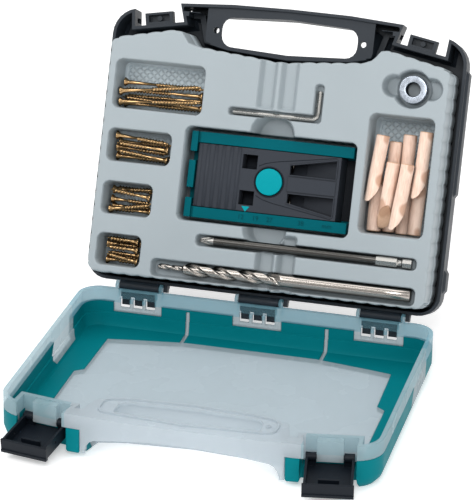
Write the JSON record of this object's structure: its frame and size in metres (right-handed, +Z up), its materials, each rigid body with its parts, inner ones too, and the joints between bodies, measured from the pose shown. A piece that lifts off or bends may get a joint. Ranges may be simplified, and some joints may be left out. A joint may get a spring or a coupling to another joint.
{
  "type": "pocket-hole dowel jig kit in a hinged case",
  "caption": "Hinged carry case with clear and dark halves, whose formed insert holds a sliding angled drill jig, step drill, driver, stop collar, hex key, screws and oblique dowels.",
  "frame": {"origin": "centre of the underside of the clear half, on its flat floor", "axes": "+X right along the hinge seen from the front, +Y from the handle side towards the hinge, +Z up; the case stands open"},
  "size_m": [0.2576, 0.3238, 0.2208],
  "materials": {
    "clear_plastic": "frosted translucent polypropylene",
    "teal_plastic": "fine grained teal polypropylene",
    "black_plastic": "satin black moulding",
    "dark_plastic": "grained anthracite moulding",
    "insert_plastic": "thin formed sheet, light blue-grey",
    "button_plastic": "bright turquoise moulding",
    "steel": "ground tool steel",
    "zinc_steel": "blank zinc plated",
    "black_steel": "black oxide",
    "spring_steel": "nickel plated",
    "yellow_zinc": "yellow passivated zinc",
    "beech": "sawn beech"
  },
  "bodies": {
    "clear_half": {"clear_tray": "clear_plastic", "teal_bumper": "teal_plastic"},
    "latch_left": {"latch_left": "black_plastic"},
    "latch_right": {"latch_right": "black_plastic"},
    "dark_half": {"dark_shell": "dark_plastic", "insert_tray": "insert_plastic"},
    "jig_body": {"jig_base": "teal_plastic"},
    "jig_head": {"jig_slider": "dark_plastic", "guide_sleeve_upper": "steel", "guide_sleeve_lower": "steel", "button_spring": "spring_steel"},
    "jig_button": {"jig_button": "button_plastic"},
    "drill": {"step_drill": "steel"},
    "driver": {"driver_bit": "steel"},
    "key": {"hex_key": "spring_steel"},
    "collar": {"stop_collar": "zinc_steel"},
    "set_screw": {"collar_set_screw": "black_steel"},
    "screws_60mm": {"screw_60mm_1": "yellow_zinc", "screw_60mm_2": "yellow_zinc", "screw_60mm_3": "yellow_zinc", "screw_60mm_4": "yellow_zinc", "screw_60mm_5": "yellow_zinc", "screw_60mm_6": "yellow_zinc", "screw_60mm_7": "yellow_zinc"},
    "screws_40mm": {"screw_40mm_1": "yellow_zinc", "screw_40mm_2": "yellow_zinc", "screw_40mm_3": "yellow_zinc", "screw_40mm_4": "yellow_zinc", "screw_40mm_5": "yellow_zinc", "screw_40mm_6": "yellow_zinc", "screw_40mm_7": "yellow_zinc"},
    "screws_30mm": {"screw_30mm_1": "yellow_zinc", "screw_30mm_2": "yellow_zinc", "screw_30mm_3": "yellow_zinc", "screw_30mm_4": "yellow_zinc", "screw_30mm_5": "yellow_zinc", "screw_30mm_6": "yellow_zinc", "screw_30mm_7": "yellow_zinc"},
    "screws_25mm": {"screw_25mm_1": "yellow_zinc", "screw_25mm_2": "yellow_zinc", "screw_25mm_3": "yellow_zinc", "screw_25mm_4": "yellow_zinc", "screw_25mm_5": "yellow_zinc", "screw_25mm_6": "yellow_zinc", "screw_25mm_7": "yellow_zinc", "screw_25mm_8": "yellow_zinc"},
    "dowels": {"dowel_1": "beech", "dowel_10": "beech", "dowel_11": "beech", "dowel_2": "beech", "dowel_3": "beech", "dowel_4": "beech", "dowel_5": "beech", "dowel_6": "beech", "dowel_7": "beech", "dowel_8": "beech", "dowel_9": "beech"}
  },
  "joints": [
    {"name": "lid_hinge", "type": "hinge", "parent": "clear_half", "child": "dark_half", "pos_m": [0, 0.1009, 0.0322], "axis": [-1, 0, 0], "range_deg": [-113, 0]},
    {"name": "latch_left_hinge", "type": "hinge", "parent": "clear_half", "child": "latch_left", "pos_m": [-0.09426, -0.08765, 0.018], "axis": [0.9845, -0.1754, 0], "range_deg": [-98, 0]},
    {"name": "latch_right_hinge", "type": "hinge", "parent": "clear_half", "child": "latch_right", "pos_m": [0.09426, -0.08765, 0.018], "axis": [0.9845, 0.1754, 0], "range_deg": [-98, 0]},
    {"name": "jig_lift", "type": "slide", "parent": "dark_half", "child": "jig_body", "axis": [0, -0.9205, 0.3907], "range_m": [0, 0.05]},
    {"name": "drill_lift", "type": "slide", "parent": "dark_half", "child": "drill", "axis": [0, -0.9205, 0.3907], "range_m": [0, 0.05]},
    {"name": "driver_lift", "type": "slide", "parent": "dark_half", "child": "driver", "axis": [0, -0.9205, 0.3907], "range_m": [0, 0.05]},
    {"name": "key_lift", "type": "slide", "parent": "dark_half", "child": "key", "axis": [0, -0.9205, 0.3907], "range_m": [0, 0.05]},
    {"name": "collar_lift", "type": "slide", "parent": "dark_half", "child": "collar", "axis": [0, -0.9205, 0.3907], "range_m": [0, 0.05]},
    {"name": "screws_60mm_lift", "type": "slide", "parent": "dark_half", "child": "screws_60mm", "axis": [0, -0.9205, 0.3907], "range_m": [0, 0.05]},
    {"name": "screws_40mm_lift", "type": "slide", "parent": "dark_half", "child": "screws_40mm", "axis": [0, -0.9205, 0.3907], "range_m": [0, 0.05]},
    {"name": "screws_30mm_lift", "type": "slide", "parent": "dark_half", "child": "screws_30mm", "axis": [0, -0.9205, 0.3907], "range_m": [0, 0.05]},
    {"name": "screws_25mm_lift", "type": "slide", "parent": "dark_half", "child": "screws_25mm", "axis": [0, -0.9205, 0.3907], "range_m": [0, 0.05]},
    {"name": "dowels_lift", "type": "slide", "parent": "dark_half", "child": "dowels", "axis": [0, -0.9205, 0.3907], "range_m": [0, 0.05]},
    {"name": "jig_head_slide", "type": "slide", "parent": "jig_body", "child": "jig_head", "axis": [1, 0, 0], "range_m": [0, 0.008]},
    {"name": "button_press", "type": "slide", "parent": "jig_head", "child": "jig_button", "axis": [0, -0.9205, 0.3907], "range_m": [-0.0024, 0]},
    {"name": "set_screw_turn", "type": "hinge", "parent": "collar", "child": "set_screw", "pos_m": [0.102, 0.14699, 0.18276], "axis": [1, 0, 0], "range_deg": [-180, 0]}
  ]
}
